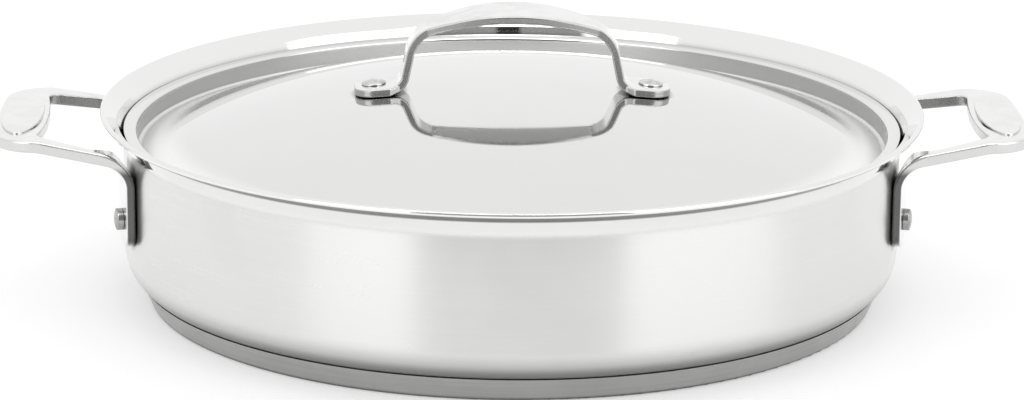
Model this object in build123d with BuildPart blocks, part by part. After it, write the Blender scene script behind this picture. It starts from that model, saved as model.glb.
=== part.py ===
from build123d import *
import math
import os

# Saute pan with a domed lid, millimetres, +Z up.
# The origin is the centre of the base where it rests; the two side handles lie along X.

# Pan shell: a drawn cup with a flared pouring rim and a rolled lip
wall_radius = 155.5  # outside of the straight wall
rim_height = 77.7
pan_sheet = 0.8
corner_radius = 16.0  # outside bend between floor and wall
flare_drop = 10.7  # from the rim's top down to where the wall leans out
flare_reach = 9.9  # how far the lip stands out from the inside of the wall
flare_bend = 8.0
knee_drop = 4.4  # where the flare turns flatter
knee_reach = 3.1
knee_bend = 4.0
lip_bead = 1.2  # radius of the rolled edge

# Base: an aluminium disc under the floor, closed in by a pressed steel cap
core_thickness = 5.9
cap_sheet = 0.6
cap_overlap = 2.8  # how far the cap reaches up past the underside of the shell
cap_lean = 23.5  # degrees that the cap's side leans out
cap_bend = 1.6
seam_gap = 0.1
core_inset = 1.7  # from the cap's bottom corner in to the disc

# Lid: a two-radius dome, a step up round its edge and a flange that sits in the flare
lid_sheet = 0.8
flange_lift = 2.7  # height of the flange above the start of the flare
flange_bend = 1.5
lid_gap = 0.3
step_inset = 4.7  # from the inside of the pan's wall to the step
step_bend = 1.6
step_depth = 9.43  # from the flange down to the dome's edge
crown_curve = 700.0
shoulder_curve = 300.0
crown_share = 0.42  # part of the dome's radius where it turns steeper

# Side handles: a flat bail with an oval pad, bent down into two ears on the wall
grip_drop = 4.5  # from the rim's top down to the top of the grip
grip_thickness = 5.0
grip_reach = 50.2  # from the wall to the tip
tip_bow = 2.2
tip_half_span = 43.0
tip_corner = 17.0
leg_fall = 10.5  # degrees that the legs slope down towards the pan
leg_fall_inset = 13.7  # from the tip in to where the legs start to slope
leg_fall_bend = 20.0
root_half_span = 48.4  # from the X axis to the outer side of an ear
grip_width = 20.2  # from the tip in to the finger hole
hole_bow = 2.5
hole_corner = 5.0
leg_tip_width = 8.5
leg_root_width = 6.9
gusset_reach = 9.8  # where a leg starts to widen, from the ear's outer face
gusset_bend = 6.0
ear_shoulder_reach = 3.0  # where it has reached the ear's width
ear_shoulder_bend = 3.0
ear_thickness = 3.6
ear_width = 17.4
ear_depth = 43.4  # from the top of the grip down to the ear's end
ear_corner_share = 0.4  # corner radius as a part of the ear's width
ear_gap = 0.1
top_bend = 15.0
under_bend = 9.0
handle_round = 1.1
pad_end_margin = 10.0  # from the grip's corners in to the ends of the pad
pad_side_margin = 1.8
pad_rise = 0.8
pad_round = 0.5

# Lid handle: a bent strap, widest at the top of its arch, with two feet on the dome
arch_rise = 32.1  # height of the arch above the dome
strap_thickness = 3.4
arch_curve = 95.0
arch_half_span = 41.0  # where the arch meets the line of a leg, before bending
arch_bend = 15.0
leg_splay = 4.3  # how much further out a leg stands at its foot
foot_bend = 5.0
foot_length = 17.9
foot_half_width = 10.7
foot_corner_share = 0.75  # tip's corner radius as a part of the foot's half width
foot_spread = 3.5  # length over which a leg widens into its foot
foot_blend = 2.5
foot_gap = 0.1
arch_half_width = 14.0
leg_half_width = 8.0
waist_inset = 7.0  # from the line of a leg in to where the arch starts to widen
strap_round = 0.9

# Rivets
shank_radius = 2.4
shank_clearance = 0.05
head_gap = 0.1
ear_rivet_rise = 10.8  # from the ear's end up to the rivet
ear_head_radius = 4.3
ear_head_height = 3.0
ear_head_rim = 2.2
inside_head_radius = 4.4
inside_head_height = 1.5
inside_head_rim = 0.6
lid_rivet_inset = 8.0  # from the foot's tip in to its rivet
lid_head_radius = 4.9
lid_head_height = 1.7
lid_head_rim = 0.6
head_round = 0.4

cut_overrun = 5.0  # how far a cutting shape passes the face that it cuts
same_place = 0.01  # places closer than this are one place

# Places that follow from the sizes
shell_floor = cap_sheet + core_thickness
wall_inner = wall_radius - pan_sheet
flare_start = rim_height - flare_drop
flange_height = flare_start + flange_lift
step_radius = wall_inner - step_inset
crown_reach = crown_share * step_radius
crown_turn = math.asin(crown_reach / crown_curve)
grip_top = rim_height - grip_drop
ear_inner = wall_radius + ear_gap
ear_outer = ear_inner + ear_thickness
ear_end = grip_top - ear_depth
ear_rivet_height = ear_end + ear_rivet_rise
ear_angle = math.degrees(math.asin((root_half_span - ear_width / 2) / ear_outer))
leg_foot_half_span = arch_half_span + leg_splay
foot_half_span = leg_foot_half_span + foot_length
lid_rivet_half_span = foot_half_span - lid_rivet_inset
sides = {"right": 1, "left": -1}
ear_angles = {"front": -ear_angle, "rear": ear_angle}


def flare_angle():
    """Lean of the flare below its knee, in radians."""
    return math.atan2(knee_reach, flare_drop - knee_drop)


def corner_reach(height):
    """Radius of the outside bend between floor and wall."""
    rise = shell_floor + corner_radius - height
    return wall_radius - corner_radius + math.sqrt(corner_radius**2 - rise**2)


def dome_drop(radius):
    """Fall of the dome's upper face from its middle out to a radius."""
    if radius <= crown_reach:
        return crown_curve - math.sqrt(crown_curve**2 - radius**2)
    crown_drop = crown_curve * (1 - math.cos(crown_turn))
    lean = math.sin(crown_turn) + (radius - crown_reach) / shoulder_curve
    return crown_drop + shoulder_curve * (math.cos(crown_turn) - math.sqrt(1 - lean**2))


def dome_height(radius):
    """Height of the dome's upper face, whose edge lies at the foot of the step."""
    return flange_height - step_depth + dome_drop(step_radius) - dome_drop(radius)


def ear_rivet_plane(side, angle, radius):
    """Plane square to a side rivet, facing away from the pan."""
    x = side * radius * math.cos(math.radians(angle))
    y = radius * math.sin(math.radians(angle))
    return Plane(origin=(x, y, ear_rivet_height), x_dir=(0, 0, 1), z_dir=(x, y, 0))


def lid_rivet_plane(side, rise):
    """Plane square to a lid rivet, at a rise above the dome."""
    slope = math.asin(lid_rivet_half_span / crown_curve)
    x = side * (lid_rivet_half_span + rise * math.sin(slope))
    z = dome_height(lid_rivet_half_span) + rise * math.cos(slope)
    return Plane(origin=(x, 0, z), x_dir=(0, 1, 0), z_dir=(side * math.sin(slope), 0, math.cos(slope)))


def outline_edges(builder, outlines):
    """Edges that lie over one of some plan outlines, without the upright ones."""

    def over_outline(edge):
        middle = edge @ 0.5
        below = Vertex(middle.X, middle.Y, 0)
        return any(outline.distance_to(below) < same_place for outline in outlines)

    return builder.edges().filter_by(Axis.Z, reverse=True).filter_by(over_outline)


def make_pan_shell():
    bead_centre = Vector(wall_inner + flare_reach - lip_bead, rim_height - lip_bead)
    knee = Vector(wall_inner + knee_reach, rim_height - knee_drop)
    # The last stretch of the flare runs tangent onto the rolled edge
    to_bead = bead_centre - knee
    tilt = math.degrees(math.asin(lip_bead / to_bead.length))
    edge = knee + to_bead.rotate(Axis.Z, tilt) * math.cos(math.radians(tilt))
    with BuildPart() as pan_shell:
        with BuildSketch(Plane.XZ):
            with BuildLine():
                FilletPolyline(
                    (0, shell_floor + pan_sheet),
                    (wall_inner, shell_floor + pan_sheet),
                    (wall_inner, flare_start),
                    knee,
                    edge,
                    radius=[corner_radius - pan_sheet, flare_bend, knee_bend],
                )
                offset(amount=pan_sheet, side=Side.RIGHT)
            make_face()
            with Locations(bead_centre):
                Circle(lip_bead)
        revolve(axis=Axis.Z)
        for side in sides.values():
            for angle in ear_angles.values():
                with Locations(ear_rivet_plane(side, angle, ear_outer)):
                    Hole(shank_radius + shank_clearance, depth=ear_outer - wall_inner + cut_overrun)
    pan_shell.part.label = "pan_shell"
    export_step(pan_shell.part, "parts/pan_shell.step")


def make_base():
    lean = math.radians(cap_lean)
    cap_height = shell_floor + cap_overlap
    cap_radius = corner_reach(cap_height) + seam_gap + cap_sheet / math.cos(lean)
    foot_radius = cap_radius - cap_height * math.tan(lean)
    past_edge = cap_height + cap_sheet
    with BuildPart() as base_cap:
        with BuildSketch(Plane.XZ):
            with BuildLine():
                FilletPolyline(
                    (0, 0),
                    (foot_radius, 0),
                    (foot_radius + past_edge * math.tan(lean), past_edge),
                    radius=cap_bend,
                )
                offset(amount=cap_sheet, side=Side.LEFT)
            make_face()
        revolve(axis=Axis.Z)
        split(bisect_by=Plane.XY.offset(cap_height), keep=Keep.BOTTOM)
    base_cap.part.label = "base_cap"
    export_step(base_cap.part, "parts/base_cap.step")

    with BuildPart() as base_core:
        with BuildSketch(Plane.XY.offset(cap_sheet)):
            Circle(foot_radius - core_inset)
        extrude(amount=core_thickness)
    base_core.part.label = "base_core"
    export_step(base_core.part, "parts/base_core.step")


def make_lid_panel():
    crown_middle = crown_reach / 2
    shoulder_middle = (crown_reach + step_radius) / 2
    underside_drop = flange_height - lid_sheet - flare_start
    flange_radius = wall_inner + underside_drop * math.tan(flare_angle()) - lid_gap / math.cos(flare_angle())
    with BuildPart() as lid_panel:
        with BuildSketch(Plane.XZ):
            with BuildLine() as top_line:
                ThreePointArc(
                    (0, dome_height(0)),
                    (crown_middle, dome_height(crown_middle)),
                    (crown_reach, dome_height(crown_reach)),
                )
                ThreePointArc(
                    (crown_reach, dome_height(crown_reach)),
                    (shoulder_middle, dome_height(shoulder_middle)),
                    (step_radius, dome_height(step_radius)),
                )
                Polyline(
                    (step_radius, dome_height(step_radius)),
                    (step_radius, flange_height),
                    (flange_radius, flange_height),
                )
                fillet(top_line.vertices().sort_by(Axis.Y)[0], step_bend)
                flange_line = top_line.vertices().filter_by_position(Axis.Y, flange_height, flange_height)
                fillet(flange_line.sort_by(Axis.X)[0], flange_bend)
                offset(amount=lid_sheet, side=Side.RIGHT)
            make_face()
        revolve(axis=Axis.Z)
        for side in sides.values():
            with Locations(lid_rivet_plane(side, foot_gap)):
                Hole(shank_radius + shank_clearance, depth=lid_sheet + cut_overrun)
    lid_panel.part.label = "lid_panel"
    export_step(lid_panel.part, "parts/lid_panel.step")


def side_handle_section():
    """Upright section of the bent plate, from past the tip to the ear's end."""
    fall = math.tan(math.radians(leg_fall))
    fall_radius = wall_radius + grip_reach - leg_fall_inset
    past_tip = wall_radius + grip_reach + cut_overrun
    underside = grip_top - grip_thickness
    with BuildSketch(Plane.XZ) as section:
        with BuildLine():
            upper = FilletPolyline(
                (past_tip, grip_top),
                (fall_radius, grip_top),
                (ear_inner, grip_top - fall * (fall_radius - ear_inner)),
                (ear_inner, ear_end),
                radius=[leg_fall_bend, top_bend],
            )
            lower = FilletPolyline(
                (ear_outer, ear_end),
                (ear_outer, underside - fall * (fall_radius - ear_outer)),
                (fall_radius, underside),
                (past_tip, underside),
                radius=[under_bend, leg_fall_bend],
            )
            Line(upper @ 1, lower @ 0)
            Line(lower @ 1, upper @ 0)
        make_face()
    return section.sketch


def ring_x(radius, half_span):
    """X of a circle about the pan's axis at a distance to the side."""
    return math.sqrt(radius**2 - half_span**2)


def side_handle_outline():
    """Plan of the right handle's outside, from its tip to inside the wall."""
    tip = wall_radius + grip_reach
    corner = Vector(tip - tip_bow, tip_half_span)
    root = Vector(ring_x(ear_inner, root_half_span), root_half_span)
    past_root = root + (root - corner).normalized() * cut_overrun
    with BuildSketch() as outline:
        with BuildLine():
            bow = ThreePointArc((corner.X, -corner.Y), (tip, 0), (corner.X, corner.Y))
            Polyline(bow @ 1, (past_root.X, past_root.Y), (past_root.X, -past_root.Y), bow @ 0)
        make_face()
        fillet(outline.vertices().group_by(Axis.X)[-1], tip_corner)
    return outline.sketch


def side_handle_hole():
    """Plan of the right handle's finger hole, which runs on between the two ears."""
    hole_edge = wall_radius + grip_reach - grip_width
    hole_half_span = tip_half_span - leg_tip_width
    leg_half_span = root_half_span - leg_root_width
    ear_half_span = root_half_span - ear_width
    gusset_x = ring_x(ear_outer, leg_half_span) + gusset_reach
    shoulder_x = ring_x(ear_outer, ear_half_span) + ear_shoulder_reach
    past_ear_x = ring_x(ear_inner, root_half_span) - cut_overrun
    with BuildSketch() as hole:
        with BuildLine():
            bow = ThreePointArc(
                (hole_edge + hole_bow, -hole_half_span),
                (hole_edge, 0),
                (hole_edge + hole_bow, hole_half_span),
            )
            Polyline(
                bow @ 1,
                (gusset_x, leg_half_span),
                (shoulder_x, ear_half_span),
                (past_ear_x, ear_half_span),
                (past_ear_x, -ear_half_span),
                (shoulder_x, -ear_half_span),
                (gusset_x, -leg_half_span),
                bow @ 0,
            )
        make_face()
        fillet(hole.vertices().group_by(Axis.X)[3], hole_corner)
        fillet(hole.vertices().group_by(Axis.X)[2], gusset_bend)
        fillet(hole.vertices().group_by(Axis.X)[1], ear_shoulder_bend)
    return hole.sketch


def make_side_handles():
    outline = side_handle_outline()
    hole = side_handle_hole()
    with BuildPart() as right_handle:
        # The bent plate as a full ring, then the plan of one handle out of it
        revolve(side_handle_section(), axis=Axis.Z)
        extrude(outline, amount=rim_height, mode=Mode.INTERSECT)
        extrude(hole, amount=rim_height, mode=Mode.SUBTRACT)
        ear_ends = right_handle.edges().filter_by(Axis.Z, reverse=True).group_by(Axis.Z)[0]
        fillet(ear_ends.filter_by(lambda edge: edge.length < ear_width / 2), ear_corner_share * ear_width)
        end_edges = right_handle.faces().sort_by(Axis.Z)[0].edges()
        fillet(outline_edges(right_handle, [outline.wire(), hole.wire()]) + end_edges, handle_round)
        with BuildSketch(Plane.XY.offset(grip_top)):
            with Locations((wall_radius + grip_reach - grip_width / 2, 0)):
                Ellipse(grip_width / 2 - pad_side_margin, tip_half_span - pad_end_margin)
        extrude(amount=pad_rise)
        fillet(right_handle.edges().group_by(Axis.Z)[-1], pad_round)
        for angle in ear_angles.values():
            with Locations(ear_rivet_plane(sides["right"], angle, ear_outer + cut_overrun)):
                Hole(shank_radius + shank_clearance, depth=ear_thickness + 2 * cut_overrun)
    right_handle.part.label = "right_handle"
    export_step(right_handle.part, "parts/right_handle.step")

    with BuildPart() as left_handle:
        mirror(right_handle.part, about=Plane.YZ)
    left_handle.part.label = "left_handle"
    export_step(left_handle.part, "parts/left_handle.step")


def lid_handle_section():
    """Upright section of the strap: arch, legs and feet, the feet running past their tips."""
    slope = math.asin(lid_rivet_half_span / crown_curve)
    along = Vector(math.cos(slope), -math.sin(slope))
    # The foot's upper face lies along the dome, on the line through its rivet
    rivet_seat = lid_rivet_plane(sides["right"], foot_gap + strap_thickness).origin
    seat = Vector(rivet_seat.X, rivet_seat.Z)
    strap_top = dome_height(0) + arch_rise
    arch_drop = arch_curve - math.sqrt(arch_curve**2 - arch_half_span**2)
    middle_drop = arch_curve - math.sqrt(arch_curve**2 - (arch_half_span / 2) ** 2)
    arch_end = Vector(arch_half_span, strap_top - arch_drop)
    leg_end = seat + along * ((leg_foot_half_span - seat.X) / along.X)
    past_foot = seat + along * (foot_half_span - seat.X + cut_overrun)
    with BuildSketch(Plane.XZ) as section:
        with BuildLine() as strap_line:
            ThreePointArc((0, strap_top), (arch_half_span / 2, strap_top - middle_drop), arch_end)
            Polyline(arch_end, leg_end, past_foot)
            fillet(strap_line.vertices().sort_by(Axis.X)[1], arch_bend)
            fillet(strap_line.vertices().sort_by(Axis.X)[3], foot_bend)
            offset(amount=strap_thickness, side=Side.RIGHT)
        make_face()
        mirror(about=Plane.YZ)
    return section.sketch


def lid_handle_plan():
    """Plan of the strap: a bowed arch, narrow legs and wider feet with rounded tips."""
    waist_half_span = arch_half_span - waist_inset
    foot_start = leg_foot_half_span + foot_spread
    with BuildSketch() as plan:
        with BuildLine():
            for side in (1, -1):
                ThreePointArc(
                    (-waist_half_span, side * leg_half_width),
                    (0, side * arch_half_width),
                    (waist_half_span, side * leg_half_width),
                )
                for end in (1, -1):
                    Polyline(
                        (end * waist_half_span, side * leg_half_width),
                        (end * leg_foot_half_span, side * leg_half_width),
                        (end * foot_start, side * foot_half_width),
                        (end * foot_half_span, side * foot_half_width),
                        (end * foot_half_span, 0),
                    )
        make_face()
        inner = plan.vertices().filter_by(lambda corner: abs(corner.X) < foot_half_span - same_place)
        fillet(inner, foot_blend)
        tips = plan.vertices().filter_by(lambda corner: abs(corner.X) > foot_half_span - same_place)
        fillet(tips.filter_by(lambda corner: abs(corner.Y) > same_place), foot_corner_share * foot_half_width)
    return plan.sketch


def make_lid_handle():
    plan = lid_handle_plan()
    with BuildPart() as lid_handle:
        extrude(lid_handle_section(), amount=arch_half_width, both=True)
        extrude(plan, amount=dome_height(0) + arch_rise + cut_overrun, mode=Mode.INTERSECT)
        fillet(outline_edges(lid_handle, [plan.wire()]), strap_round)
        for side in sides.values():
            with Locations(lid_rivet_plane(side, strap_thickness + cut_overrun)):
                Hole(shank_radius + shank_clearance, depth=strap_thickness + 2 * cut_overrun)
    lid_handle.part.label = "lid_handle"
    export_step(lid_handle.part, "parts/lid_handle.step")


def make_rivet(name, seat, grip, head, tail):
    """Rivet through a grip's thickness; head and tail each give radius, height and rim."""
    axis = Axis(seat.origin, seat.z_dir)
    head_radius, head_height, head_rim = head
    tail_radius, tail_height, tail_rim = tail
    tail_seat = -grip - head_gap
    with BuildPart() as rivet:
        with BuildSketch(Plane(origin=seat.origin, x_dir=seat.x_dir, z_dir=-seat.y_dir)):
            with BuildLine():
                crown = TangentArc(
                    (0, head_gap + head_height), (head_radius, head_gap + head_rim), tangent=(1, 0)
                )
                button = TangentArc(
                    (0, tail_seat - tail_height), (tail_radius, tail_seat - tail_rim), tangent=(1, 0)
                )
                Polyline(
                    crown @ 1,
                    (head_radius, head_gap),
                    (shank_radius, head_gap),
                    (shank_radius, tail_seat),
                    (tail_radius, tail_seat),
                    button @ 1,
                )
                Line(button @ 0, crown @ 0)
            make_face()
        revolve(axis=axis)
        fillet(rivet.faces().sort_by(axis)[-1].edges(), head_round)
    rivet.part.label = name
    export_step(rivet.part, f"parts/{name}.step")


def make_rivets():
    ear_head = (ear_head_radius, ear_head_height, ear_head_rim)
    lid_head = (lid_head_radius, lid_head_height, lid_head_rim)
    inside_head = (inside_head_radius, inside_head_height, inside_head_rim)
    foot_top = foot_gap + strap_thickness
    for side, facing in sides.items():
        for place, angle in ear_angles.items():
            seat = ear_rivet_plane(facing, angle, ear_outer)
            make_rivet(f"{side}_handle_rivet_{place}", seat, ear_outer - wall_inner, ear_head, inside_head)
        seat = lid_rivet_plane(facing, foot_top)
        make_rivet(f"lid_rivet_{side}", seat, foot_top + lid_sheet, lid_head, inside_head)


def build_all():
    os.makedirs("parts", exist_ok=True)
    make_pan_shell()
    make_base()
    make_lid_panel()
    make_side_handles()
    make_lid_handle()
    make_rivets()


build_all()
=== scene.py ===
import math
import bmesh
import bpy
from mathutils import Matrix, Vector


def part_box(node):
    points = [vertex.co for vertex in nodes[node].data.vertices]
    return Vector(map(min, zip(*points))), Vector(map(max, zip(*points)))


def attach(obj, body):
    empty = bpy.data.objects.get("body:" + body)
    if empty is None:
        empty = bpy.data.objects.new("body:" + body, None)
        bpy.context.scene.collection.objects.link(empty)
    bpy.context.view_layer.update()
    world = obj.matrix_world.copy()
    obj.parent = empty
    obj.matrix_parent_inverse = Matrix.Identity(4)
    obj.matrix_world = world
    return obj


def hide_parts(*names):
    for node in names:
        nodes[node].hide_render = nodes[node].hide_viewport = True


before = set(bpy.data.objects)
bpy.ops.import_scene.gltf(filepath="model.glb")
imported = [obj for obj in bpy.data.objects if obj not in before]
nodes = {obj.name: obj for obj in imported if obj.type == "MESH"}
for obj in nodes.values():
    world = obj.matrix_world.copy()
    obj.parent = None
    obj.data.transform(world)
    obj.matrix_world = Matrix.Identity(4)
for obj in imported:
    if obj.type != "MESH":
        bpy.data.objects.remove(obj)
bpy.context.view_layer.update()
print("frame loaded:", len(nodes), "pieces")

# Mesh helpers


def roundedPath(corners, radii, steps):
    # corners joined by straight runs, with an arc of the given radius at each inner corner
    path = [Vector(corners[0])]
    for before, corner, after, radius in zip(corners, corners[1:], corners[2:], radii):
        corner = Vector(corner)
        inward = (Vector(before) - corner).normalized()
        outward = (Vector(after) - corner).normalized()
        half = inward.angle(outward) / 2
        reach = radius / math.tan(half)
        centre = corner + (inward + outward).normalized() * radius / math.sin(half)
        start = corner + inward * reach - centre
        sweep = math.pi - 2 * half
        if inward.cross(outward) > 0:
            sweep = -sweep
        for step in range(steps + 1):
            path.append(centre + Matrix.Rotation(sweep * step / steps, 2) @ start)
    path.append(Vector(corners[-1]))
    return path


def shiftedPath(path, distance):
    # the same path, moved to its right-hand side
    moved = []
    for index, point in enumerate(path):
        before = path[max(index - 1, 0)]
        after = path[min(index + 1, len(path) - 1)]
        along = (after - before).normalized()
        moved.append(point + Vector((along.y, -along.x)) * distance)
    return moved


def lathe(name, outline, segments):
    # turns a closed outline of (radius, height) points about Z
    mergeDistance = 1e-6
    sharpAngle = math.radians(35)
    mesh = bpy.data.meshes.new(name)
    shape = bmesh.new()
    ring = [shape.verts.new((point[0], 0, point[1])) for point in outline]
    edges = [shape.edges.new((a, b)) for a, b in zip(ring, ring[1:])]
    if outline[0][0] > 0:
        edges.append(shape.edges.new((ring[-1], ring[0])))
    bmesh.ops.spin(
        shape, geom=ring + edges, cent=(0, 0, 0), axis=(0, 0, 1), angle=2 * math.pi,
        steps=segments, use_merge=True,
    )
    bmesh.ops.remove_doubles(shape, verts=shape.verts, dist=mergeDistance)
    bmesh.ops.recalc_face_normals(shape, faces=shape.faces)
    shape.to_mesh(mesh)
    shape.free()
    mesh.shade_smooth()
    mesh.set_sharp_from_angle(angle=sharpAngle)
    piece = bpy.data.objects.new(name, mesh)
    bpy.context.scene.collection.objects.link(piece)
    return piece


def finishPiece(piece, body, slot, material, *replaced):
    piece.data.materials.clear()
    piece.data.materials.append(material)
    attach(piece, body)
    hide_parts(*replaced)


# Node helpers


def addNode(tree, kind, place, **values):
    # values are the node's own settings, such as operation or data_type
    node = tree.nodes.new(kind)
    node.location = place
    for name, value in values.items():
        setattr(node, name, value)
    return node


def link(tree, source, target):
    tree.links.new(source, target)


def fill(tree, socket, value):
    # a number or a tuple is written on the socket, another socket is linked to it
    if isinstance(value, (int, float, tuple)):
        socket.default_value = value
    else:
        link(tree, value, socket)


def compute(tree, operation, place, *values):
    node = addNode(tree, "ShaderNodeMath", place, operation=operation)
    for socket, value in zip(node.inputs, values):
        fill(tree, socket, value)
    return node.outputs[0]


def computeVector(tree, operation, place, *values):
    node = addNode(tree, "ShaderNodeVectorMath", place, operation=operation)
    for socket, value in zip(node.inputs, values):
        fill(tree, socket, value)
    return node.outputs["Value" if operation in ("LENGTH", "DOT_PRODUCT") else "Vector"]


def axes(tree, place, vector):
    # the X, Y and Z of a vector
    node = addNode(tree, "ShaderNodeSeparateXYZ", place)
    link(tree, vector, node.inputs[0])
    return node.outputs


def pieceAxes(tree, place, kind="Object"):
    # the X, Y and Z of the point on the piece, or of its Normal
    start = addNode(tree, "ShaderNodeTexCoord", place)
    return axes(tree, (place[0] + 200, place[1]), start.outputs[kind])


def spread(tree, place, value, start, finish):
    # a smooth step, 0 at start and 1 at finish
    node = addNode(tree, "ShaderNodeMapRange", place, interpolation_type="SMOOTHSTEP")
    for socket, limit in zip(node.inputs, (value, start, finish)):
        fill(tree, socket, limit)
    return node.outputs[0]


def noiseFrom(tree, place, vector, **values):
    # values are keyed by socket name
    node = addNode(tree, "ShaderNodeTexNoise", place, noise_dimensions="3D")
    link(tree, vector, node.inputs["Vector"])
    for name, value in values.items():
        fill(tree, node.inputs[name], value)
    return node.outputs["Fac"]


def makeGroup(name, inputs, outputs):
    # every socket of these groups holds a number
    group = bpy.data.node_groups.new(name, "ShaderNodeTree")
    for direction, sockets in (("INPUT", inputs), ("OUTPUT", outputs)):
        for socket in sockets:
            group.interface.new_socket(socket, in_out=direction, socket_type="NodeSocketFloat")
    start = addNode(group, "NodeGroupInput", (-1600, 0))
    end = addNode(group, "NodeGroupOutput", (400, 0))
    return group, start.outputs, end.inputs


# Shader groups

# how far a normal points sideways where a bend turns into a cut side
cutSide = {"start": 0.45, "finish": 0.85}


def facing(tree, place, part):
    # 1 where this part of the normal is long, whichever way it points
    size = compute(tree, "ABSOLUTE", place, part)
    return spread(tree, (place[0] + 200, place[1]), size, cutSide["start"], cutSide["finish"])


def notFacing(tree, place, part):
    size = compute(tree, "ABSOLUTE", place, part)
    return spread(tree, (place[0] + 200, place[1]), size, cutSide["finish"], cutSide["start"])


def turnedLinesGroup():
    # fine lines around the pan's axis, as turning and polishing leave them
    group, given, result = makeGroup("turnedLines", ("Spacing", "Sweep"), ("Lines",))
    place = addNode(group, "ShaderNodeTexCoord", (-1600, -300)).outputs["Object"]
    flat = computeVector(group, "MULTIPLY", (-1400, -300), place, (1, 1, 0))
    reach = computeVector(group, "LENGTH", (-1200, -400), flat)
    around = computeVector(group, "NORMALIZE", (-1200, -200), flat)
    wide = computeVector(group, "MULTIPLY", (-1000, -200), around, given["Sweep"])
    ring = axes(group, (-800, -200), wide)
    own = axes(group, (-1200, -600), place)
    across = compute(group, "ADD", (-1000, -400), reach, own["Z"])
    across = compute(group, "DIVIDE", (-800, -400), across, given["Spacing"])
    where = addNode(group, "ShaderNodeCombineXYZ", (-600, -300))
    for axis, value in (("X", ring["X"]), ("Y", ring["Y"]), ("Z", across)):
        link(group, value, where.inputs[axis])
    noise = noiseFrom(group, (-400, -300), where.outputs[0], Scale=1, Detail=3, Roughness=0.65)
    link(group, spread(group, (-200, -300), noise, 0.3, 0.7), result["Lines"])
    return group


def smudgesGroup():
    # wide, faint differences where a cloth or a hand has been
    group, given, result = makeGroup("smudges", ("Size",), ("Smudge",))
    place = addNode(group, "ShaderNodeTexCoord", (-1200, -300)).outputs["Object"]
    scale = compute(group, "DIVIDE", (-1200, -100), 1.0, given["Size"])
    noise = noiseFrom(group, (-900, -200), place, Scale=scale, Detail=4, Roughness=0.55, Distortion=0.6)
    link(group, spread(group, (-600, -200), noise, 0.35, 0.7), result["Smudge"])
    return group


def hairlinesGroup():
    # sparse scratches in two directions, each a thin band of a stretched noise
    group, given, result = makeGroup("hairlines", ("Width", "Length"), ("Scratch",))
    place = addNode(group, "ShaderNodeTexCoord", (-1400, -400)).outputs["Object"]
    fine = compute(group, "DIVIDE", (-1400, -50), 1.0, given["Width"])
    coarse = compute(group, "DIVIDE", (-1400, -220), 1.0, given["Length"])
    scale = addNode(group, "ShaderNodeCombineXYZ", (-1200, -100))
    for axis, value in (("X", coarse), ("Y", fine), ("Z", fine)):
        link(group, value, scale.inputs[axis])
    layers = []
    for turn, row in ((0.35, -400), (-1.1, -600)):
        turned = addNode(group, "ShaderNodeVectorRotate", (-1200, row), rotation_type="EULER_XYZ")
        turned.inputs["Rotation"].default_value = (turn / 2, turn / 3, turn)
        link(group, place, turned.inputs["Vector"])
        stretched = computeVector(group, "MULTIPLY", (-1000, row), turned.outputs[0], scale.outputs[0])
        noise = noiseFrom(group, (-800, row), stretched, Scale=1, Detail=1)
        layers.append(spread(group, (-600, row), noise, 0.66, 0.74))
    link(group, compute(group, "MAXIMUM", (-300, -500), *layers), result["Scratch"])
    return group


def edgeWearAndShadeGroup():
    # 1 on an edge, where a rounded normal leaves the surface's own
    group, given, result = makeGroup("edgeWearAndShade", ("Radius",), ("WearAndShade",))
    rounded = addNode(group, "ShaderNodeBevel", (-1200, -200), samples=4)
    link(group, given["Radius"], rounded.inputs["Radius"])
    own = addNode(group, "ShaderNodeNewGeometry", (-1200, -400)).outputs["Normal"]
    same = computeVector(group, "DOT_PRODUCT", (-900, -300), rounded.outputs[0], own)
    link(group, spread(group, (-600, -300), same, 0.995, 0.85), result["WearAndShade"])
    return group


def paintedRecessShadeGroup():
    # 1 in seams, grooves and tight bends, found by ambient occlusion; it masks painted shade
    group, given, result = makeGroup("paintedRecessShade", ("Reach",), ("RecessShade",))
    openness = addNode(group, "ShaderNodeAmbientOcclusion", (-1200, -200), samples=8)
    link(group, given["Reach"], openness.inputs["Distance"])
    link(group, spread(group, (-900, -200), openness.outputs["AO"], 0.92, 0.42), result["RecessShade"])
    return group


def undersidesGroup():
    # 1 where the normal's Z is below To, 0 where it is above From
    group, given, result = makeGroup("undersides", ("From", "To"), ("Under",))
    normal = pieceAxes(group, (-1200, -300), "Normal")
    under = spread(group, (-700, -300), normal["Z"], given["From"], given["To"])
    link(group, under, result["Under"])
    return group


def stepRingGroup():
    # Wall is 1 on upright faces, Edge is 1 outside the Outer radius and below the Top height
    group, given, result = makeGroup("stepRing", ("Inner", "Outer", "Top"), ("Wall", "Edge"))
    topFade = 0.0015
    normal = pieceAxes(group, (-1400, -600), "Normal")
    tilt = compute(group, "ABSOLUTE", (-1000, -600), normal["Z"])
    link(group, spread(group, (-800, -600), tilt, 0.55, 0.2), result["Wall"])
    place = addNode(group, "ShaderNodeTexCoord", (-1400, -200)).outputs["Object"]
    flat = computeVector(group, "MULTIPLY", (-1200, -200), place, (1, 1, 0))
    reach = computeVector(group, "LENGTH", (-1000, -200), flat)
    outside = spread(group, (-800, -200), reach, given["Inner"], given["Outer"])
    own = axes(group, (-1200, -400), place)
    below = compute(group, "SUBTRACT", (-1000, -400), given["Top"], topFade)
    low = spread(group, (-800, -400), own["Z"], given["Top"], below)
    link(group, compute(group, "MULTIPLY", (-400, -300), outside, low), result["Edge"])
    return group


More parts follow.
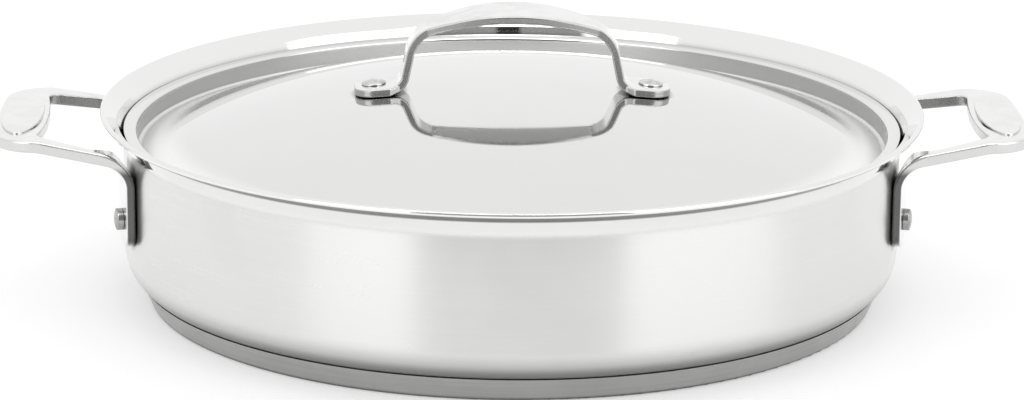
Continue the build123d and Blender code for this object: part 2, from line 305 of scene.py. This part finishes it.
def plateSidesGroup():
    # Side is 1 on the cut sides of a side handle's plate, Low on those of its ears,
    # Inner on those of its finger hole
    group, given, result = makeGroup("plateSides", ("BendTop",), ("Side", "Inner", "Low"))
    bendFade = 0.004
    place = addNode(group, "ShaderNodeTexCoord", (-1800, -300)).outputs
    flat = computeVector(group, "MULTIPLY", (-1600, -300), place["Object"], (1, 1, 0))
    outward = computeVector(group, "NORMALIZE", (-1400, -300), flat)
    sideways = computeVector(group, "CROSS_PRODUCT", (-1200, -300), outward, (0, 0, 1))
    across = computeVector(group, "DOT_PRODUCT", (-1000, -300), sideways, place["Normal"])
    cut = facing(group, (-800, -300), across)
    # above the ear's bend the round end of the grip is a cut side too
    own = axes(group, (-1400, -500), place["Object"])
    normal = axes(group, (-1400, -700), place["Normal"])
    past = compute(group, "ADD", (-1200, -450), given["BendTop"], bendFade)
    high = spread(group, (-1000, -500), own["Z"], given["BendTop"], past)
    level = notFacing(group, (-1200, -700), normal["Z"])
    grip = compute(group, "MULTIPLY", (-800, -600), high, level)
    below = compute(group, "SUBTRACT", (-800, -450), 1.0, high)
    link(group, compute(group, "MULTIPLY", (-200, -500), below, cut), result["Low"])
    link(group, compute(group, "MAXIMUM", (-200, -300), cut, grip), result["Side"])
    # the finger hole's sides look towards the X axis
    inward = compute(group, "MULTIPLY", (-1000, -850), normal["Y"], own["Y"])
    inner = compute(group, "LESS_THAN", (-800, -850), inward, 0.0)
    link(group, compute(group, "MULTIPLY", (-200, -700), inner, cut), result["Inner"])
    return group


def strapSidesGroup():
    # 1 on the cut sides of the lid handle's strap, round the feet as well
    group, given, result = makeGroup("strapSides", ("FootStart",), ("Side",))
    footFade = 0.002
    own = pieceAxes(group, (-1400, -100))
    normal = pieceAxes(group, (-1400, -400), "Normal")
    flank = facing(group, (-1000, -300), normal["Y"])
    level = notFacing(group, (-1000, -500), normal["Z"])
    out = compute(group, "ABSOLUTE", (-1000, -100), own["X"])
    past = compute(group, "ADD", (-1000, 50), given["FootStart"], footFade)
    foot = spread(group, (-800, -50), out, given["FootStart"], past)
    tip = compute(group, "MULTIPLY", (-500, -300), foot, level)
    link(group, compute(group, "MAXIMUM", (-200, -300), flank, tip), result["Side"])
    return group


groups = {
    "turnedLines": turnedLinesGroup(),
    "smudges": smudgesGroup(),
    "hairlines": hairlinesGroup(),
    "edgeWearAndShade": edgeWearAndShadeGroup(),
    "paintedRecessShade": paintedRecessShadeGroup(),
    "undersides": undersidesGroup(),
    "stepRing": stepRingGroup(),
    "plateSides": plateSidesGroup(),
    "strapSides": strapSidesGroup(),
}
print("shader groups:", len(groups))

# Steel finishes


def newFinish(name):
    material = bpy.data.materials.new(name)
    material.use_nodes = True
    tree = material.node_tree
    shader = tree.nodes["Principled BSDF"]
    shader.inputs["Metallic"].default_value = 1
    return material, tree, shader


def useGroup(tree, name, place, **values):
    # values are keyed by socket name
    node = addNode(tree, "ShaderNodeGroup", place, node_tree=groups[name])
    for socket, value in values.items():
        fill(tree, node.inputs[socket], value)
    return node.outputs


def scratchesFor(tree, finish):
    width, length = finish["scratchSize"]
    return useGroup(tree, "hairlines", (-1300, -400), Width=width, Length=length)["Scratch"]


def blendColours(tree, place, share, first, second):
    # first where share is 0, second where it is 1; either may be a socket
    node = addNode(tree, "ShaderNodeMix", place, data_type="RGBA")
    link(tree, share, node.inputs["Factor"])
    for socket, colour in ((node.inputs[6], first), (node.inputs[7], second)):
        fill(tree, socket, (*colour, 1) if isinstance(colour, tuple) else colour)
    return node.outputs[2]


def addLayers(tree, row, value, *layers):
    # adds each mask, times its share, to the value
    for index, (mask, share) in enumerate(layers):
        value = compute(tree, "MULTIPLY_ADD", (-1100 + 200 * index, row), mask, share, value)
    return value


def bumpFrom(tree, shader, height, depth, strength):
    bump = addNode(tree, "ShaderNodeBump", (-200, -500))
    bump.inputs["Distance"].default_value = depth
    bump.inputs["Strength"].default_value = strength
    link(tree, height, bump.inputs["Height"])
    link(tree, bump.outputs[0], shader.inputs["Normal"])


def finishUnderside(tree, place, colour, finish):
    # painted shade: faces that look downwards, under the lip and under the strap, are darkened
    start, end = finish["underNormal"]
    under = useGroup(tree, "undersides", place, From=start, To=end)["Under"]
    return blendColours(tree, (place[0] + 200, place[1]), under, colour, finish["underShadeColour"])


def finishShell(tree, colour, rough, finish):
    # painted shade darkens the bottom corner, and the flared rim is polished to a mirror
    rimFade = 0.002
    height = pieceAxes(tree, (-1100, 500))["Z"]
    low = spread(tree, (-700, 400), height, *finish["cornerHeights"])
    colour = blendColours(tree, (-500, 300), low, colour, finish["cornerShadeColour"])
    high = spread(tree, (-700, 600), height, finish["rimFrom"] - rimFade, finish["rimFrom"])
    colour = blendColours(tree, (-400, 500), high, colour, finish["rimColour"])
    colour = finishUnderside(tree, (-400, 700), colour, finish)
    finer = finish["rimRoughness"] - finish["roughness"]
    return colour, compute(tree, "MULTIPLY_ADD", (-400, -100), high, finer, rough)


def finishStep(tree, colour, rough, finish):
    # painted highlight brightens the dome's edge, which is also rougher, and painted shade darkens the
    # step's wall
    inner, outer = finish["edgeRadii"]
    step = useGroup(tree, "stepRing", (-700, 500), Inner=inner, Outer=outer, Top=finish["stepTop"])
    colour = blendColours(tree, (-500, 400), step["Edge"], colour, finish["edgeHighlightColour"])
    colour = blendColours(tree, (-300, 400), step["Wall"], colour, finish["stepShadeColour"])
    return colour, compute(tree, "MULTIPLY_ADD", (-400, -100), step["Edge"], finish["edgeRoughness"], rough)


def turnedSteel(name, finish, finishMore=None):
    # a polished or satin piece turned about the pan's axis
    material, tree, shader = newFinish(name)
    lines = useGroup(
        tree, "turnedLines", (-1300, 0), Spacing=finish["lineSpacing"], Sweep=finish["lineSweep"]
    )["Lines"]
    smudge = useGroup(tree, "smudges", (-1300, -200), Size=finish["smudgeSize"])["Smudge"]
    scratch = scratchesFor(tree, finish)
    tone = addLayers(tree, 100, 0.0, (lines, finish["lineTone"]), (smudge, finish["smudgeTone"]))
    colour = blendColours(tree, (-700, 100), tone, finish["colour"], finish["dull"])
    rough = addLayers(
        tree, -100, finish["roughness"],
        (lines, finish["lineRoughness"]),
        (smudge, finish["smudgeRoughness"]),
        (scratch, finish["scratchRoughness"]),
    )
    if finishMore:
        colour, rough = finishMore(tree, colour, rough, finish)
    # painted shade: seams, grooves and tight bends are darkened where ambient occlusion finds them
    recessShadeMask = useGroup(tree, "paintedRecessShade", (-400, 250), Reach=finish["recessReach"])["RecessShade"]
    colour = blendColours(tree, (-200, 250), recessShadeMask, colour, finish["recessShadeColour"])
    link(tree, colour, shader.inputs["Base Color"])
    link(tree, rough, shader.inputs["Roughness"])
    height = addLayers(tree, -500, lines, (scratch, -0.5))
    bumpFrom(tree, shader, height, finish["lineDepth"], finish["bumpStrength"])
    shader.inputs["Anisotropic"].default_value = finish["anisotropy"]
    shader.inputs["Anisotropic Rotation"].default_value = finish["anisotropyTurn"]
    around = addNode(tree, "ShaderNodeTangent", (-200, -700), direction_type="RADIAL", axis="Z")
    link(tree, around.outputs[0], shader.inputs["Tangent"])
    return material


def padRoughness(tree, rough, finish):
    # the oval pad on top of the grip is satin
    start, end = finish["padHeights"]
    height = pieceAxes(tree, (-1100, -700))["Z"]
    raised = spread(tree, (-700, -700), height, start, end)
    return compute(tree, "MULTIPLY_ADD", (-300, -100), raised, finish["padRoughness"], rough)


def handleSteelFinish(name, finish):
    # a polished plate; its cut sides are rougher and carry painted shade
    material, tree, shader = newFinish(name)
    cut = useGroup(tree, finish["sideGroup"], (-1300, 300), **finish["sideStart"])
    smudge = useGroup(tree, "smudges", (-1300, 0), Size=finish["smudgeSize"])["Smudge"]
    scratch = scratchesFor(tree, finish)
    wearAndShadeMask = useGroup(tree, "edgeWearAndShade", (-1300, -200), Radius=finish["edgeMaskRadius"])["WearAndShade"]
    colour = blendColours(tree, (-1100, 100), smudge, finish["colour"], finish["dull"])
    # painted shade: the cut sides are darkened
    colour = blendColours(tree, (-900, 200), cut["Side"], colour, finish["sideShadeColour"])
    if "underShadeColour" in finish:
        colour = finishUnderside(tree, (-900, 400), colour, finish)
    # painted shade: the ears' cut sides and the finger hole's sides are darkened further
    if "lowShadeColour" in finish:
        colour = blendColours(tree, (-700, 300), cut["Low"], colour, finish["lowShadeColour"])
        colour = blendColours(tree, (-500, 300), cut["Inner"], colour, finish["innerShadeColour"])
    # edges: real wear in the roughness, and painted shade in the darker colour
    rubbedAndShaded = compute(tree, "MULTIPLY", (-900, -300), wearAndShadeMask, finish["wearAndShadeShare"])
    colour = blendColours(tree, (-300, 200), rubbedAndShaded, colour, finish["wearAndShadeColour"])
    link(tree, colour, shader.inputs["Base Color"])
    rough = addLayers(
        tree, -100, finish["roughness"],
        (smudge, finish["smudgeRoughness"]),
        (cut["Side"], finish["sideRoughness"]),
        (scratch, finish["scratchRoughness"]),
        (rubbedAndShaded, finish["wearRoughness"]),
    )
    if "padHeights" in finish:
        rough = padRoughness(tree, rough, finish)
    link(tree, rough, shader.inputs["Roughness"])
    grain = compute(tree, "MULTIPLY", (-700, -500), smudge, finish["grainShare"])
    height = compute(tree, "SUBTRACT", (-500, -500), grain, scratch)
    bumpFrom(tree, shader, height, finish["bumpDepth"], finish["bumpStrength"])
    return material


def rivetSteelFinish(name, finish):
    # a peened head: shallow dents, and a rim darkened partly as wear and partly as painted shade
    material, tree, shader = newFinish(name)
    dents = useGroup(tree, "smudges", (-1300, 0), Size=finish["dentSize"])["Smudge"]
    scratch = scratchesFor(tree, finish)
    wearAndShadeMask = useGroup(tree, "edgeWearAndShade", (-1300, -200), Radius=finish["edgeMaskRadius"])["WearAndShade"]
    colour = blendColours(tree, (-700, 100), dents, finish["colour"], finish["dull"])
    colour = blendColours(tree, (-500, 100), wearAndShadeMask, colour, finish["wearAndShadeColour"])
    link(tree, colour, shader.inputs["Base Color"])
    rough = addLayers(
        tree, -100, finish["roughness"],
        (dents, finish["dentRoughness"]),
        (scratch, finish["scratchRoughness"]),
    )
    link(tree, rough, shader.inputs["Roughness"])
    bumpFrom(tree, shader, dents, finish["dentDepth"], finish["bumpStrength"])
    return material


shellFinish = {
    "colour": (0.76, 0.76, 0.755), "dull": (0.66, 0.66, 0.655),
    "lineSpacing": 0.0008, "lineSweep": 2.5, "lineTone": 0.10, "lineRoughness": 0.03,
    "lineDepth": 0.00001, "bumpStrength": 0.25,
    "smudgeSize": 0.05, "smudgeTone": 0.12, "smudgeRoughness": 0.03,
    "scratchSize": (0.00035, 0.02),  # width and length
    "roughness": 0.27, "scratchRoughness": 0.04,
    "anisotropy": 0.9, "anisotropyTurn": 0.25,
    "cornerHeights": (0.021, 0.013), "cornerShadeColour": (0.53, 0.53, 0.525),
    "rimFrom": 0.068, "rimRoughness": 0.025, "rimColour": (0.84, 0.84, 0.835),
    "underNormal": (-0.42, -0.7), "underShadeColour": (0.28, 0.28, 0.278),
    "recessReach": 0.004, "recessShadeColour": (0.16, 0.16, 0.158),
}
lidFinish = {
    "colour": (0.78, 0.78, 0.775), "dull": (0.68, 0.68, 0.675),
    "lineSpacing": 0.0011, "lineSweep": 3.0, "lineTone": 0.05, "lineRoughness": 0.015,
    "lineDepth": 0.000006, "bumpStrength": 0.2,
    "smudgeSize": 0.06, "smudgeTone": 0.10, "smudgeRoughness": 0.02,
    "scratchSize": (0.00035, 0.02),
    "roughness": 0.03, "scratchRoughness": 0.05,
    "anisotropy": 0.3, "anisotropyTurn": 0.25,
    "edgeRadii": (0.130, 0.143), "edgeRoughness": 0.40, "edgeHighlightColour": (0.95, 0.95, 0.945),
    "stepTop": 0.0690, "stepShadeColour": (0.42, 0.42, 0.416),
    "recessReach": 0.003, "recessShadeColour": (0.25, 0.25, 0.248),
}
capFinish = {
    "colour": (0.44, 0.44, 0.435), "dull": (0.33, 0.33, 0.325),
    "lineSpacing": 0.0007, "lineSweep": 2.0, "lineTone": 0.35, "lineRoughness": 0.08,
    "lineDepth": 0.00003, "bumpStrength": 0.35,
    "smudgeSize": 0.03, "smudgeTone": 0.25, "smudgeRoughness": 0.06,
    "scratchSize": (0.00035, 0.02),
    "roughness": 0.30, "scratchRoughness": 0.06,
    "anisotropy": 0.5, "anisotropyTurn": 0.25,
    "recessReach": 0.002, "recessShadeColour": (0.15, 0.15, 0.148),
}
coreFinish = {**capFinish, "colour": (0.75, 0.75, 0.76), "dull": (0.62, 0.62, 0.63), "roughness": 0.4}
plateFinish = {
    "colour": (0.86, 0.86, 0.855), "roughness": 0.09, "sideRoughness": 0.16,
    "smudgeSize": 0.012, "grainShare": 0.3,
    "scratchSize": (0.00025, 0.008), "scratchRoughness": 0.08, "bumpStrength": 0.3,
    "edgeMaskRadius": 0.0007, "wearRoughness": 0.05, "wearAndShadeColour": (0.30, 0.30, 0.295),
}
strapFinish = {
    **plateFinish,
    "dull": (0.76, 0.76, 0.755), "sideShadeColour": (0.40, 0.40, 0.395),
    "underNormal": (-0.2, -0.5), "underShadeColour": (0.42, 0.42, 0.415),
    "smudgeRoughness": 0.05, "bumpDepth": 0.00002, "wearAndShadeShare": 0.35,
    "sideGroup": "strapSides", "sideStart": {"FootStart": 0.047},
}
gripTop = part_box("right_handle")[1].z
bailFinish = {
    **plateFinish,
    "dull": (0.81, 0.81, 0.805), "sideShadeColour": (0.68, 0.68, 0.675),
    "lowShadeColour": (0.13, 0.13, 0.128), "innerShadeColour": (0.30, 0.30, 0.295),
    "smudgeRoughness": 0.03, "bumpDepth": 0.000006, "wearAndShadeShare": 0.15,
    "sideGroup": "plateSides", "sideStart": {"BendTop": 0.060},
    "padHeights": (gripTop - 0.0004, gripTop - 0.0002), "padRoughness": 0.22,
}
lidRivetFinish = {
    "colour": (0.72, 0.72, 0.715), "dull": (0.52, 0.52, 0.515), "roughness": 0.18,
    "dentSize": 0.003, "dentDepth": 0.00012, "dentRoughness": 0.12, "bumpStrength": 0.4,
    "scratchSize": (0.0002, 0.004), "scratchRoughness": 0.08,
    "edgeMaskRadius": 0.0005, "wearAndShadeColour": (0.25, 0.25, 0.245),
}
sideRivetFinish = {**lidRivetFinish, "colour": (0.44, 0.44, 0.435), "dull": (0.28, 0.28, 0.278)}

panSteel = turnedSteel("panSteel", shellFinish, finishShell)
lidSteel = turnedSteel("lidSteel", lidFinish, finishStep)
baseSteel = turnedSteel("baseSteel", capFinish)
coreAluminium = turnedSteel("coreAluminium", coreFinish)
sideHandleSteel = handleSteelFinish("sideHandleSteel", bailFinish)
lidHandleSteel = handleSteelFinish("lidHandleSteel", strapFinish)
rivetSteel = rivetSteelFinish("rivetSteel", lidRivetFinish)
sideRivetSteel = rivetSteelFinish("sideRivetSteel", sideRivetFinish)
print("finishes made")

# Pan shell

shellLow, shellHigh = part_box("pan_shell")
pan = {
    "sheet": 0.0008,
    "cornerRadius": 0.0160,  # outside, between floor and wall
    "wallInset": 0.0091,  # from the rim's edge in to the outside of the wall
    "flareDrop": 0.0107,  # from the rim's top down to where the wall leans out
    "flareBend": 0.008,
    "kneeDrop": 0.0044,
    "kneeReach": 0.0031,  # from the inside of the wall out to the knee
    "kneeBend": 0.004,
    "lipBead": 0.0012,
    "bendSteps": 14,
    "lipSteps": 24,
    "segments": 360,
}


def shellOutline():
    wall = shellHigh.x - pan["wallInset"] - pan["sheet"]
    floor = shellLow.z + pan["sheet"]
    top = shellHigh.z
    bead = Vector((shellHigh.x - pan["lipBead"], top - pan["lipBead"]))
    knee = Vector((wall + pan["kneeReach"], top - pan["kneeDrop"]))
    toBead = bead - knee
    lean = math.atan2(toBead.y, toBead.x) + math.asin(pan["lipBead"] / toBead.length)
    run = math.sqrt(toBead.length_squared - pan["lipBead"] ** 2)
    edge = knee + Vector((math.cos(lean), math.sin(lean))) * run
    corners = [(0, floor), (wall, floor), (wall, top - pan["flareDrop"]), knee, edge]
    radii = [pan["cornerRadius"] - pan["sheet"], pan["flareBend"], pan["kneeBend"]]
    inside = roundedPath(corners, radii, pan["bendSteps"])
    # the rolled edge runs from the inside face round to the outside one
    start = lean + math.pi / 2
    finish = start + math.acos(1 - pan["sheet"] / pan["lipBead"]) - 2 * math.pi
    rolled = []
    for step in range(1, pan["lipSteps"] + 1):
        angle = start + (finish - start) * step / pan["lipSteps"]
        rolled.append(bead + Vector((math.cos(angle), math.sin(angle))) * pan["lipBead"])
    outside = shiftedPath(inside, pan["sheet"])[:-1]
    return inside + rolled + outside[::-1]


panShell = lathe("panShell", shellOutline(), pan["segments"])
finishPiece(panShell, "pan", "pan_steel", panSteel, "pan_shell")
print("pan shell turned")

# Lid panel

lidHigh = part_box("lid_panel")[1]
lid = {
    "sheet": 0.0008,
    "flangeDrop": 0.0147,  # from the top of the dome down to the flange
    "flangeBend": 0.0015,
    "stepInset": 0.0053,  # from the flange's edge in to the step
    "stepBend": 0.0016,
    "domeInset": 0.004,  # from the step in to the last point of the dome's own curve
    "crownCurve": 0.700,
    "shoulderCurve": 0.300,
    "crownShare": 0.42,  # the part of the step's radius that the flatter crown takes up
    "domeSteps": 60,
    "bendSteps": 12,
    "segments": 360,
}


def domeHeight(radius, stepRadius):
    top = lidHigh.z
    crownReach = lid["crownShare"] * stepRadius
    if radius <= crownReach:
        return top - lid["crownCurve"] + math.sqrt(lid["crownCurve"] ** 2 - radius**2)
    turn = math.asin(crownReach / lid["crownCurve"])
    edge = top - lid["crownCurve"] * (1 - math.cos(turn))
    lean = math.sin(turn) + (radius - crownReach) / lid["shoulderCurve"]
    return edge - lid["shoulderCurve"] * (math.cos(turn) - math.sqrt(1 - lean**2))


def lidOutline():
    edge = lidHigh.x
    stepRadius = edge - lid["stepInset"]
    flange = lidHigh.z - lid["flangeDrop"]
    dome = []
    for step in range(lid["domeSteps"]):
        radius = (stepRadius - lid["domeInset"]) * step / (lid["domeSteps"] - 1)
        dome.append(Vector((radius, domeHeight(radius, stepRadius))))
    groove = (stepRadius, domeHeight(stepRadius, stepRadius))
    corners = [dome[-1], groove, (stepRadius, flange), (edge, flange)]
    bends = [lid["stepBend"], lid["flangeBend"]]
    top = dome[:-1] + roundedPath(corners, bends, lid["bendSteps"])
    under = shiftedPath(top, lid["sheet"])
    return top + under[::-1]


lidPanel = lathe("lidPanel", lidOutline(), lid["segments"])
finishPiece(lidPanel, "lid", "lid_steel", lidSteel, "lid_panel")
print("lid panel turned")

# Pieces that keep their own shape

keptFinishes = {
    "base_cap": baseSteel,
    "base_core": coreAluminium,
    "lid_handle": lidHandleSteel,
    "left_handle": sideHandleSteel,
    "right_handle": sideHandleSteel,
}
for name in nodes:
    if "rivet" in name:
        keptFinishes[name] = rivetSteel if name.startswith("lid") else sideRivetSteel
for name, material in keptFinishes.items():
    slots = nodes[name].data.materials
    slots.clear()
    slots.append(material)
print("finishes set")

# Studio: pale floor, white surroundings, soft boxes and screens

studio = {
    "floorSize": 12.0,
    "floorColour": (0.72, 0.72, 0.72),
    "floorGlow": 0.38,
    "worldStrength": 1.0,
}
# turn is in degrees to the right of straight ahead, seen from the pan's axis, and
# halfWidth in degrees; low, high and distance are in metres; glow is the brightness
screens = {
    "softboxLeft": {"turn": -44, "halfWidth": 16, "low": 0.02, "high": 2.6, "glow": 2.0, "distance": 2.2},
    "softboxRight": {"turn": 54, "halfWidth": 24, "low": 0.02, "high": 2.6, "glow": 1.95, "distance": 2.2},
    "greyScreen": {"turn": 1, "halfWidth": 27, "low": 0.0, "high": 0.66, "glow": 0.38, "distance": 0.75},
    "flareScreen": {"turn": 0, "halfWidth": 30, "low": 0.44, "high": 0.66, "glow": 0.30, "distance": 0.40},
    "cameraFront": {"turn": 0, "halfWidth": 5, "low": 0.46, "high": 0.66, "glow": 0.01, "distance": 0.39},
    "topScreen": {"turn": 0, "halfWidth": 45, "low": 1.2, "high": 2.8, "glow": 3.8, "distance": 1.0},
}


def seenDirectly(tree):
    # 1 where the camera, a reflection or a refraction looks, 0 for light that falls on things
    path = addNode(tree, "ShaderNodeLightPath", (-800, -150)).outputs
    first = compute(tree, "MAXIMUM", (-600, -150), path["Is Camera Ray"], path["Is Glossy Ray"])
    return compute(tree, "MAXIMUM", (-400, -150), first, path["Is Transmission Ray"])


def stageMaterial(name):
    material = bpy.data.materials.new(name)
    material.use_nodes = True
    tree = material.node_tree
    tree.nodes.remove(tree.nodes["Principled BSDF"])
    return material, tree, tree.nodes["Material Output"].inputs["Surface"]


def stageMesh(name, corners, material, onlyReflected=False):
    mesh = bpy.data.meshes.new(name)
    mesh.from_pydata(corners, [], [(0, 1, 2, 3)])
    mesh.materials.append(material)
    sheet = bpy.data.objects.new(name, mesh)
    bpy.context.scene.collection.objects.link(sheet)
    if onlyReflected:
        sheet.visible_camera = False
        sheet.visible_diffuse = False
        sheet.visible_shadow = False


def makeFloor():
    material, tree, surface = stageMaterial("paleFloor")
    paint = addNode(tree, "ShaderNodeBsdfDiffuse", (0, 0))
    paint.inputs["Color"].default_value = (*studio["floorColour"], 1)
    glow = addNode(tree, "ShaderNodeEmission", (0, -150))
    strength = compute(tree, "MULTIPLY", (-200, -150), seenDirectly(tree), studio["floorGlow"])
    link(tree, strength, glow.inputs["Strength"])
    both = addNode(tree, "ShaderNodeAddShader", (200, 0))
    link(tree, paint.outputs[0], both.inputs[0])
    link(tree, glow.outputs[0], both.inputs[1])
    link(tree, both.outputs[0], surface)
    half = studio["floorSize"] / 2
    corners = [(-half, -half, 0), (half, -half, 0), (half, half, 0), (-half, half, 0)]
    stageMesh("studioFloor", corners, material)


def makeWorld():
    world = bpy.data.worlds.new("studioWorld")
    bpy.context.scene.world = world
    world.use_nodes = True
    background = world.node_tree.nodes["Background"]
    background.inputs["Color"].default_value = (1, 1, 1, 1)
    background.inputs["Strength"].default_value = studio["worldStrength"]


def makeScreen(name, turn, halfWidth, low, high, glow, distance):
    # an upright screen that faces the pan's axis and that only reflections see
    material, tree, surface = stageMaterial(name)
    light = addNode(tree, "ShaderNodeEmission", (0, 0))
    light.inputs["Strength"].default_value = glow
    link(tree, light.outputs[0], surface)
    angle, half = math.radians(turn), math.radians(halfWidth)
    middle = Vector((math.sin(angle), -math.cos(angle), 0)) * distance
    across = Vector((math.cos(angle), math.sin(angle), 0)) * distance * math.tan(half)
    foot, top = Vector((0, 0, low)), Vector((0, 0, high))
    corners = [middle - across + foot, middle + across + foot, middle + across + top, middle - across + top]
    stageMesh(name, corners, material, onlyReflected=True)


makeFloor()
makeWorld()
for name, screen in screens.items():
    makeScreen(name, **screen)
print("studio ready")

# Camera, solved from the rim, the walls and the handles in the photograph

view = {
    "turn": 1.8,  # degrees that the camera stands to the left of straight ahead
    "rise": 15.46,
    "roll": 0.52,
    "distance": 1.666,
    "lookAt": (0.0003, 0.0374),  # to the right of the pan's axis, and height
    "focalPixels": 4127,
    "imageWidth": 1024,
    "sensorWidth": 36,
    "farLimit": 100,
}


def makeCamera():
    turn, rise, roll = (math.radians(view[key]) for key in ("turn", "rise", "roll"))
    right = Vector((math.cos(turn), -math.sin(turn), 0))
    away = Vector((-math.sin(turn), -math.cos(turn), 0))
    back = away * math.cos(rise) + Vector((0, 0, math.sin(rise)))
    up = back.cross(right)
    rolledRight = right * math.cos(roll) + up * math.sin(roll)
    rolledUp = up * math.cos(roll) - right * math.sin(roll)
    target = right * view["lookAt"][0] + Vector((0, 0, view["lookAt"][1]))
    lens = bpy.data.cameras.new("studioCamera")
    lens.sensor_width = view["sensorWidth"]
    lens.lens = view["focalPixels"] / view["imageWidth"] * view["sensorWidth"]
    lens.clip_end = view["farLimit"]
    camera = bpy.data.objects.new("studioCamera", lens)
    turned = Matrix((rolledRight, rolledUp, back)).transposed().to_4x4()
    camera.matrix_world = Matrix.Translation(target + back * view["distance"]) @ turned
    bpy.context.scene.collection.objects.link(camera)
    bpy.context.scene.camera = camera


makeCamera()
bpy.context.scene.view_settings.view_transform = "Standard"
